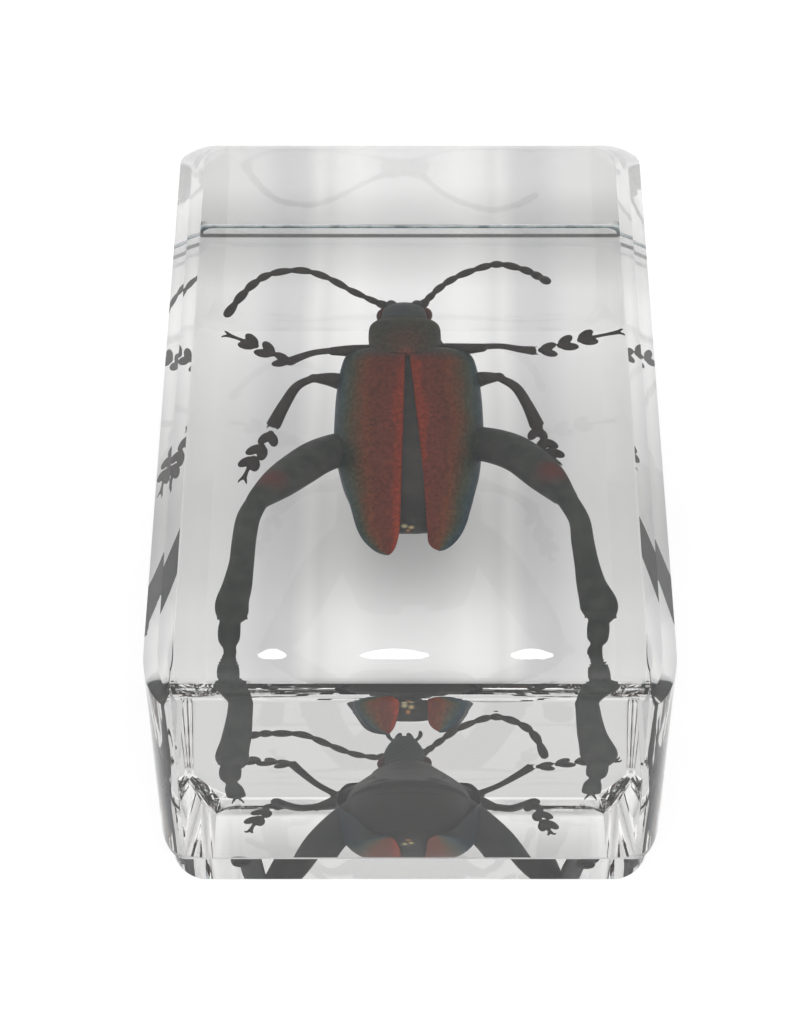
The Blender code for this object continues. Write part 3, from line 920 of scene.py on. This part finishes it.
def upper_heights():
    """Heights of the rings from the start of the rounds to the top, none too close together."""
    drops = {FRONT_ROUND_DROP, INNER_FACET_DROP, INNER_FACET_DROP + OUTER_FACET_DROP}
    for k in range(EDGE_STEPS + 1):
        for drop in (FRONT_ROUND_DROP, BACK_ROUND_DROP):
            drops.add(drop * (1.0 - math.sin(0.5 * math.pi * k / EDGE_STEPS)))
    heights = []
    for height in sorted(BLOCK_HEIGHT - drop for drop in drops):
        if not heights or height - heights[-1] >= LEAST_RING_GAP:
            heights.append(height)
    return heights


def clear_block(material):
    """The whole block as one clear piece in place of its two halves."""
    rings = [
        block_ring(0.0, *SOLE_INSETS, FOOT_CORNER),
        block_ring(FOOT_HEIGHT, *FOOT_INSETS, FOOT_CORNER, STEP_SLOPE),
        block_ring(GROOVE_HEIGHT, *GROOVE_INSETS, FOOT_CORNER, STEP_SLOPE),
        block_ring(STEP_TOP, WALL_TAPER, WALL_TAPER, WALL_TAPER, FRONT_CORNER, STEP_SLOPE),
    ]
    for z in upper_heights():
        front = round_inset(z, FRONT_ROUND_DROP, FRONT_ROUND_LENGTH)
        back = round_inset(z, BACK_ROUND_DROP, BACK_ROUND_LENGTH)
        rings.append(block_ring(z, facet_inset(z), front, back))
    bm = bmesh.new()
    skin(bm, rings)
    block = piece_from("resin_block", bm, material)
    mesh = block.data
    mesh.set_sharp_from_angle(angle=SHARP_ANGLE)
    ring_size = len(rings[0])
    for edge in mesh.edges:
        low, high = (vertex // ring_size for vertex in edge.vertices)
        if low == high and low in SHARP_RINGS:
            edge.use_edge_sharp = True
    flat = block.modifiers.new("true_faces", "WEIGHTED_NORMAL")
    flat.keep_sharp = True
    flat.mode = "FACE_AREA"
    flat.weight = 100
    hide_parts("resin_upper", "resin_lower")


# ---------------------------------------------------------------- beetle pieces
def case_section(side, place):
    """One cross-section of a wing case: the points of its upper side, then of its lower side."""
    arc = 28
    least_width = 0.02
    tip = LEFT_TIP if side < 0 else RIGHT_TIP
    y = ELYTRA_FRONT + (tip - ELYTRA_FRONT) * place
    half_width, margin, crown = at_place(ELYTRA_FORM, place)
    if side > 0:
        half_width += RIGHT_SPREAD * ramp_up(place, 0.55, 0.25)
    outer = BODY_X + side * half_width
    edge_start, edge_gain, edge_power = INNER_EDGES[side > 0]
    inner = edge_start + edge_gain * place ** edge_power
    # towards the tip both sides close on the tip line, each on its own round
    near_tip = max(0.0, 1.0 - (y - tip) / OUTER_TIP_ROUND)
    close = max(1.0 - near_tip ** 2.3, 0.0) ** 0.5
    near_inner = max(0.0, 1.0 - (y - tip) / INNER_TIP_ROUND[side > 0])
    close_inner = max(1.0 - near_inner ** 2, 0.0) ** 0.5
    centre = inner + side * TIP_LINE
    inner = centre + (inner - centre) * max(close_inner, least_width)
    outer = centre + (outer - centre) * max(close, least_width)
    body = (crown - margin) * (TIP_BODY + (1.0 - TIP_BODY) * close)
    thick = min(CASE_THICKNESS, 0.35 * body + 0.1)
    tuck = CASE_TUCK * ramp_up(place, 0.45, 0.35) * close
    upper = []
    lower = []
    for m in range(arc + 1):
        u = m / arc
        turn = 0.5 * math.pi * u
        x = inner + (outer - inner) * math.sin(turn) ** 0.96
        x -= side * tuck * max((u - 0.72) / 0.28, 0.0) ** 2
        rise = math.cos(turn) ** 0.5
        dip = 0.07 * body * (1.0 - u / 0.3) ** 2 if u < 0.3 else 0.0
        z = margin + body * rise - dip
        upper.append((x, y, z))
        pull = thick * (0.35 + 0.65 * math.sin(math.pi * min(u * 1.2, 1.0)))
        lower.append((x - side * pull * 0.5 * u * close, y, z - pull * (1.0 - 0.6 * u ** 4)))
    return upper, lower


def wing_case(name, side, material):
    """One wing case as a thin curved shell: side is -1 for the left and 1 for the right."""
    steps = 80
    rings = []
    rows = []
    for k in range(steps + 1):
        place = 1.0 - (1.0 - k / steps) ** 1.8
        upper, lower = case_section(side, place)
        across = [m / (len(upper) - 1) for m in range(len(upper))]
        across += [1.0 - share for share in across]
        ring = upper + lower[::-1]
        if side > 0:
            ring = ring[::-1]
            across = across[::-1]
        rings.append(ring)
        rows.append(place)
    ends = []
    for ring, step in ((rings[0], 0.12), (rings[-1], -0.02)):
        middle = Vector((0.0, 0.0, 0.0))
        for point in ring:
            middle += Vector(point) / len(ring)
        middle.y += step
        ends.append(middle)
    bm = bmesh.new()
    skin(bm, rings, *ends, (rows, across))
    beetle_piece(name, bm, material, rounds=1)


def trunk(material):
    """Thorax and abdomen under the wing cases, with the rings of the abdomen and the coxae."""
    bm = bmesh.new()
    barrel(bm, TRUNK_FORM, BODY_X, 40, 0.9, 60)
    for k, y in enumerate((1.2, -0.9, -2.8, -4.4, -5.7)):
        middle = (BODY_X, y, 8.9 - 0.2 * k - 0.25)
        lump(bm, middle, (1.25, 5.2 - 0.09 * k * k, 3.0 - 0.42 * k), (0.0, -1.0, 0.0), 32, 12)
    for x in (-2.1, 1.9):
        lump(bm, (x, 3.2, 8.2), (1.5, 1.9, 1.4), (x, 0.4, -0.5), 20, 10)
        lump(bm, (x * 0.95, 6.4, 9.3), (1.1, 1.2, 1.1), (x, 0.3, -0.5), 18, 10)
        lump(bm, (x * 0.62 - 0.15, 10.7, 10.8), (0.8, 0.9, 1.0), (x, 0.3, -0.5), 18, 10)
    beetle_piece("trunk", bm, material, blend_size=0.16)


def hind_wings(material):
    """The folded wings that show dark in the gap between the wing cases."""
    stations = 24
    sides = 20
    rings = []
    for k in range(stations + 1):
        t = k / stations
        y = 9.6 - 17.1 * t
        z = 13.0 + 0.9 * math.sin(math.pi * t) - 4.7 * t ** 8
        half = 1.2 + 1.9 * math.sin(math.pi * (0.15 + 0.7 * t)) - 0.5 * t
        ring = []
        for i in range(sides):
            turn = 2.0 * math.pi * i / sides
            fold = 1.0 + 0.07 * math.cos(5.0 * turn + 3.0 * t)
            x = 0.25 + 0.35 * t - half * math.cos(turn) * fold
            ring.append((x, y, z + 0.55 * math.sin(turn) * fold))
        rings.append(ring)
    bm = bmesh.new()
    skin(bm, rings, (0.25, 9.8, 12.9), (0.6, -7.75, 8.1))
    beetle_piece("hind_wings", bm, material, rounds=1)


def pronotum(material):
    """The shield behind the head."""
    bm = bmesh.new()
    barrel(bm, PRONOTUM_FORM, HEAD_X + 0.05, 40, 0.84, 26)
    beetle_piece("pronotum", bm, material, rounds=1)


def head(material):
    """Head with its snout, and on each side a jaw, a palp and the root of the antenna."""
    bm = bmesh.new()
    barrel(bm, HEAD_FORM, HEAD_X, 36, 0.92, 26)
    for side in (-1.0, 1.0):
        lump(bm, (HEAD_X + side * 0.55, 17.0, 9.5), (0.75, 0.32, 0.3), (-side * 0.35, 0.7, -0.7), 14, 10)
        limb(bm, (
            (HEAD_X + side * 0.9, 16.6, 9.6, 0.17, 0.17),
            (HEAD_X + side * 1.3, 16.95, 9.3, 0.19, 0.19),
            (HEAD_X + side * 1.42, 17.25, 9.0, 0.21, 0.21),
            (HEAD_X + side * 1.35, 17.5, 8.8, 0.12, 0.12),
        ), 10, 12)
        lump(bm, (HEAD_X + side * 1.05, 15.9, 11.9), (0.5, 0.45, 0.4), (side, 0.8, 0.3), 14, 8)
    beetle_piece("head", bm, material, blend_size=0.07)


def eyes(material):
    """Both compound eyes."""
    bm = bmesh.new()
    for eye in EYE_PLACES:
        lump(bm, eye, EYE_RADII, (0.1, 1.0, -0.3), 28, 18)
    beetle_piece("eyes", bm, material)


def let_down(bm):
    """Lower a whole piece by the drop of the thinner limbs."""
    bmesh.ops.translate(bm, verts=bm.verts, vec=(0.0, 0.0, -LIMB_DROP * MM))


def antennae(material):
    """Two antennae of eleven beads each, thicker towards the end."""
    bm = bmesh.new()
    for line in (ANTENNA_LEFT, ANTENNA_RIGHT):
        last = len(line) - 1
        points = []
        for k, place in enumerate(line):
            radius = ANTENNA_RADIUS + ANTENNA_GAIN * (k / last) ** 0.7
            points.append((*place, radius, radius))
        limb(bm, points, 14, 133, ANTENNA_BEADS, ANTENNA_BEAD_DEPTH)
        base = Vector(line[0])
        ahead = (Vector(line[1]) - base).normalized()
        lump(bm, base + ahead * 0.5, (0.85, 0.45, 0.45), ahead, 14, 10)
    let_down(bm)
    beetle_piece("antennae", bm, material)


def pad(bm, joint, ahead, across, size):
    """One heart-shaped pad of a foot: two lobes on a narrow stem."""
    rise = across.cross(ahead)
    for side in (-1.0, 1.0):
        lean = (ahead + across * side * 0.42).normalized()
        middle = joint + across * side * 0.36 * size + lean * 0.12
        lump(bm, middle, (0.82 * size, 0.46 * size, 0.26), lean, 14, 10, rise)
    limb(bm, (
        (*(joint - ahead * 0.75), 0.22, 0.2),
        (*(joint - ahead * 0.2), 0.42, 0.26),
        (*(joint + ahead * 0.3), 0.3, 0.22),
    ), 10, 6)


def claws(bm, root, ahead, spread, length):
    """A pair of bent claws."""
    across = ahead.cross(UP).normalized()
    for side in (-1.0, 1.0):
        limb(bm, (
            (*(root - ahead * 0.1), 0.15, 0.16),
            (*(root + ahead * length * 0.45 + across * side * spread * 0.45), 0.14, 0.15),
            (*(root + ahead * length * 0.85 + across * side * spread * 0.85 - UP * 0.12), 0.10, 0.11),
            (*(root + ahead * length + across * side * spread - UP * 0.38), 0.045, 0.05),
        ), 10, 10)


def small_leg(bm, leg):
    """A fore or middle leg: femur, tibia with two spurs, three pads and a clawed last joint."""
    femur, tibia, foot = leg
    limb(bm, femur, 18, 22)
    limb(bm, tibia, 16, 22)
    joints = [Vector(p) for p in foot]
    before = Vector(tibia[-1][:3])
    knee = Vector(femur[-1][:3])
    knee_way = (tibia[1][0] - tibia[0][0], tibia[1][1] - tibia[0][1], 0.0)
    lump(bm, knee, (0.5, 0.46, 0.46), knee_way, 14, 10)
    spur_way = (joints[0] - before).normalized()
    side_way = spur_way.cross(UP).normalized()
    for side in (-1.0, 1.0):
        start = before + side_way * side * 0.35
        limb(bm, (
            (*start, 0.12, 0.12),
            (*(start + spur_way * 0.4 + side_way * side * 0.12), 0.05, 0.05),
        ), 8, 5)
    for k, joint in enumerate(joints[:3]):
        ahead = (joint - before).normalized()
        across = ahead.cross(UP).normalized()
        pad(bm, joint, ahead, across, 1.0 if k else 0.92)
        before = joint
    end = joints[3]
    ahead = (end - before).normalized()
    limb(bm, (
        (*before, 0.2, 0.18),
        (*((before + end) * 0.5), 0.17, 0.16),
        (*(end - ahead * 0.55), 0.24, 0.22),
    ), 10, 10)
    claws(bm, end - ahead * 0.65, ahead, 0.36, 0.7)


def hind_leg(bm, leg, side):
    """A jumping leg: swollen femur with its teeth, bent tibia with its bulge, foot and claws."""
    femur, tibia, foot, claw = leg
    limb(bm, femur, 30, 40)
    limb(bm, tibia, 22, 60)
    limb(bm, foot, 18, 34)
    lump(bm, tibia[0][:3], (1.0, 0.95, 0.95), (side, -1.0, 0.3), 18, 12)
    end = Vector(foot[-1][:3])
    ahead = (Vector(claw) - end).normalized()
    claws(bm, end + ahead * 0.1, ahead, 0.5, 0.75)
    middle = Vector(femur[3][:3])
    reach = Vector(femur[4][:3])
    along = (reach - middle).normalized()
    out = (along.cross(UP) * (-side)).normalized()
    tooth = (out * 0.9 - UP * 0.6 - along * 0.25).normalized()
    for share, size in ((0.15, 0.42), (0.7, 0.3)):
        root = middle.lerp(reach, share) + out * 1.35 - UP * 0.5
        limb(bm, (
            (*(root - tooth * 0.4), size, size),
            (*(root + tooth * 0.35), size * 0.55, size * 0.55),
            (*(root + tooth * 0.75), size * 0.15, size * 0.15),
        ), 10, 8)
    for station in (-2, -3):
        start = Vector(tibia[station][:3])
        width = tibia[station][3]
        for way in (-1.0, 1.0):
            root = start + Vector((way * width * 0.75, 0.0, 0.0))
            limb(bm, (
                (*root, 0.2, 0.2),
                (*(root + Vector((way * 0.25, -0.5, -0.15))), 0.07, 0.07),
            ), 8, 5)


def legs(small_material, hind_material):
    """Three pairs of legs, one piece for each pair."""
    for name, pair in (
        ("fore_legs", (FORE_LEFT, FORE_RIGHT)),
        ("middle_legs", (MID_LEFT, MID_RIGHT)),
    ):
        bm = bmesh.new()
        for leg in pair:
            small_leg(bm, leg)
        let_down(bm)
        beetle_piece(name, bm, small_material, blend_size=0.075)
    bm = bmesh.new()
    for leg, side in ((HIND_LEFT, -1.0), (HIND_RIGHT, 1.0)):
        hind_leg(bm, leg, side)
    beetle_piece("hind_legs", bm, hind_material, blend_size=0.1)


# ---------------------------------------------------------------- stage
def stage_sheet(name, outline, material):
    """A flat sheet of the stage within an outline."""
    bm = bmesh.new()
    bm.faces.new([bm.verts.new(Vector(point) * MM) for point in outline])
    mesh = bpy.data.meshes.new(name)
    bm.to_mesh(mesh)
    bm.free()
    mesh.materials.append(material)
    sheet = bpy.data.objects.new(name, mesh)
    bpy.context.scene.collection.objects.link(sheet)


def surroundings():
    """Soft light from all round, bright in front and overhead."""
    world = bpy.data.worlds.new("studio")
    bpy.context.scene.world = world
    world.use_nodes = True
    tree = world.node_tree
    sky = tree.nodes["Background"]
    sky.inputs["Color"].default_value = (1.0, 1.0, 1.0, 1.0)
    way = tree.nodes.new("ShaderNodeTexCoord")
    grid = tree.nodes.new("ShaderNodeSeparateXYZ")
    tree.links.new(way.outputs["Generated"], grid.inputs["Vector"])
    both = tree.nodes.new("ShaderNodeMath")
    both.operation = "ADD"
    tree.links.new(both.outputs[0], sky.inputs["Strength"])
    limits = ("From Min", "From Max", "To Min", "To Max")
    for target, (axis, *values) in zip(both.inputs, SKY_CHANGES):
        span = tree.nodes.new("ShaderNodeMapRange")
        span.interpolation_type = "SMOOTHSTEP"
        for limit, value in zip(limits, values):
            span.inputs[limit].default_value = value
        tree.links.new(grid.outputs[axis], span.inputs["Value"])
        tree.links.new(span.outputs["Result"], target)


def lamps():
    """Three strip lamps above and behind the block, seen as white ovals in its top."""
    for name, x, width, power in LAMPS:
        lamp = bpy.data.lights.new(name, "AREA")
        lamp.shape = "ELLIPSE"
        lamp.size = width * MM
        lamp.size_y = LAMP_LENGTH * MM
        lamp.energy = power
        thing = bpy.data.objects.new(name, lamp)
        thing.location = Vector((x, LAMP_Y, LAMP_Z)) * MM
        thing.rotation_euler = (math.radians(LAMP_TILT), 0.0, 0.0)
        bpy.context.scene.collection.objects.link(thing)
        thing.visible_diffuse = False
        thing.visible_transmission = False


def camera():
    """The photo's view, with plain colours and enough bounces for the clear block."""
    scene = bpy.context.scene
    data = bpy.data.cameras.new("camera")
    data.sensor_width = SENSOR_WIDTH
    data.sensor_fit = "AUTO"
    data.lens = FOCAL_PIXELS / FRAME_LONG_SIDE * SENSOR_WIDTH
    data.shift_x = CENTRE_SHIFT / FRAME_LONG_SIDE
    data.clip_start = 0.01
    data.clip_end = 10.0
    thing = bpy.data.objects.new("camera", data)
    tilt = math.radians(CAMERA_ELEVATION)
    away = Vector((0.0, -math.cos(tilt), math.sin(tilt))) * CAMERA_DISTANCE
    thing.location = (Vector(CAMERA_AIM) + away) * MM
    thing.rotation_euler = (0.5 * math.pi - tilt, 0.0, 0.0)
    scene.collection.objects.link(thing)
    scene.camera = thing
    scene.view_settings.view_transform = "Standard"
    scene.cycles.max_bounces = 24
    scene.cycles.transmission_bounces = 24
    scene.cycles.glossy_bounces = 12
    scene.cycles.diffuse_bounces = 4


def beetle():
    """All pieces of the beetle with their materials."""
    wing_case("wing_case_left", -1.0, case_paint("wing_case_left_look", -0.3))
    wing_case("wing_case_right", 1.0, case_paint("wing_case_right_look", 1.0))
    trunk(dark_paint(
        "dark_shell_look", (0.022, 0.022, 0.022), (0.050, 0.048, 0.044), spots=FLECKS_AND_GLINTS,
    ))
    hind_wings(dark_paint(
        "hind_wing_look", (0.022, 0.022, 0.023), (0.052, 0.047, 0.043), grain=700.0, spots=FLECKS_AND_GLINTS,
    ))
    pronotum(pronotum_paint())
    head(dark_paint("head_look", (0.044, 0.052, 0.054), (0.068, 0.074, 0.074), grain=900.0))
    eyes(dark_paint(
        "eye_look", (0.045, 0.014, 0.010), (0.075, 0.024, 0.016), grain=1200.0, pit_scale=6500.0,
    ))
    limb_look = dark_paint("leg_look", (0.030, 0.027, 0.026), (0.056, 0.048, 0.045))
    antennae(limb_look)
    legs(limb_look, dark_paint(
        "hind_leg_look", (0.030, 0.035, 0.033), (0.060, 0.065, 0.058), grain=800.0, spots=KNEES,
    ))


def stage():
    """The light table, the light under the block, the surroundings and the lamps."""
    corners = ((-1, -1), (1, -1), (1, 1), (-1, 1))
    floor = [(x * FLOOR_REACH, y * FLOOR_REACH, FLOOR_LEVEL) for x, y in corners]
    stage_sheet("floor", floor, floor_paint())
    under_light = block_ring(UNDER_LIGHT_LEVEL, *UNDER_LIGHT_INSETS, FOOT_CORNER)
    stage_sheet("under_light", under_light, under_light_paint())
    surroundings()
    lamps()


def main():
    clear_block(resin_paint())
    beetle()
    stage()
    camera()


main()
